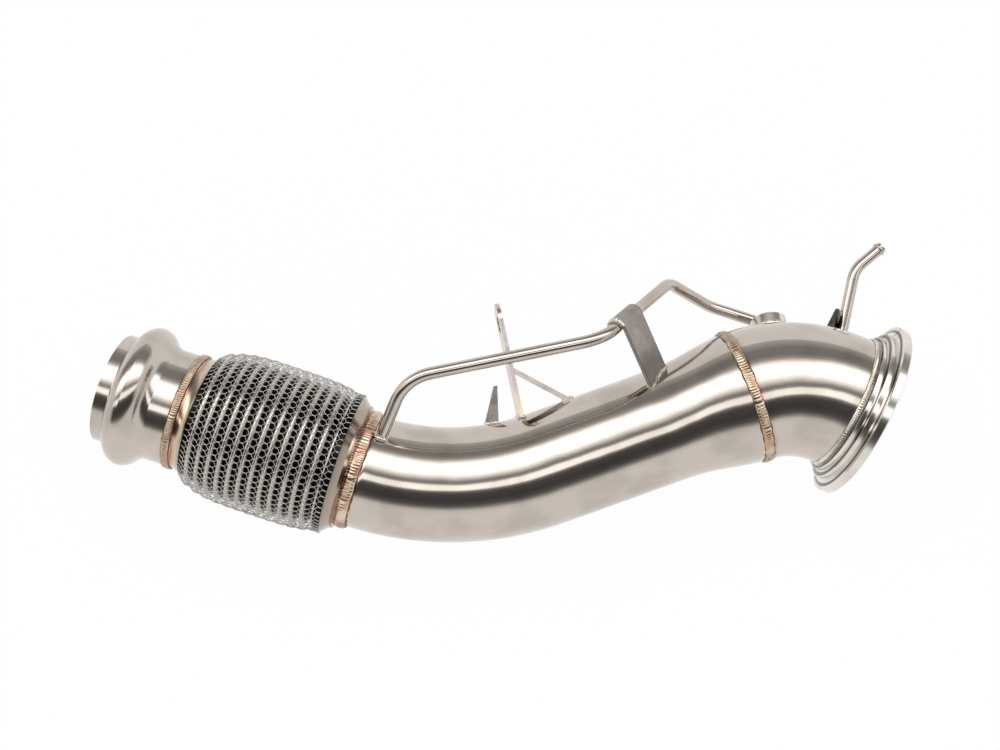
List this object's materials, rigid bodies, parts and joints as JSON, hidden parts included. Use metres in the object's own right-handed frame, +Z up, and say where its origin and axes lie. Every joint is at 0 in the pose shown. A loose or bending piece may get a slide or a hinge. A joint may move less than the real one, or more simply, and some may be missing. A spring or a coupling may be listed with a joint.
{
  "type": "turbo downpipe",
  "caption": "Bent stainless exhaust downpipe with a braided flexible section, a turned turbo flange, a sensor port and a thin pressure tube on brackets.",
  "frame": {"origin": "middle of the box on the floor that the pipe lies on, in the attitude in which it comes to rest on its side", "axes": "+X towards the turbo flange end, along the longest extent; +Y towards the pressure tube and hanger; +Z up"},
  "size_m": [0.541, 0.2068, 0.119],
  "materials": {
    "pipe_steel": "bright stainless tube, finely brushed round the pipe",
    "spun_steel": "bright spun stainless with fine turning lines",
    "turned_steel": "turned stainless with fine lathe lines",
    "tinted_steel": "stainless with a bronze and purple heat tint",
    "copper_weld": "rippled weld with a gold and pink heat tint",
    "straw_weld": "rippled weld with a straw heat tint and brown edges",
    "bright_weld": "bright rippled weld",
    "braid_wire": "knitted stainless wire",
    "bellows_steel": "bright folded stainless sheet",
    "tube_steel": "bright drawn stainless tube",
    "strip_steel": "grey stainless strip with darker cut edges"
  },
  "bodies": {
    "root": {"main_pipe": "pipe_steel", "elbow": "pipe_steel", "outlet_connector": "spun_steel", "turbo_flange": "turned_steel", "outlet_collar": "tinted_steel", "inlet_collar": "tinted_steel", "outlet_weld": "tinted_steel", "joint_weld": "copper_weld", "elbow_weld": "straw_weld", "flange_weld": "bright_weld", "flex_braid": "braid_wire", "flex_bellows": "bellows_steel", "flex_liner": "bellows_steel", "sensor_boss": "turned_steel", "boss_weld": "bright_weld", "pressure_tube": "tube_steel", "tube_foot_weld": "bright_weld", "tube_strap": "strip_steel", "strap_foot_weld": "bright_weld", "strap_tube_weld": "bright_weld", "hanger_plate": "strip_steel", "hanger_weld": "bright_weld", "hanger_strut": "strip_steel", "strut_weld": "bright_weld", "side_tab": "strip_steel", "tab_weld": "bright_weld", "tube_clip": "strip_steel", "clip_weld": "bright_weld"}
  },
  "joints": []
}
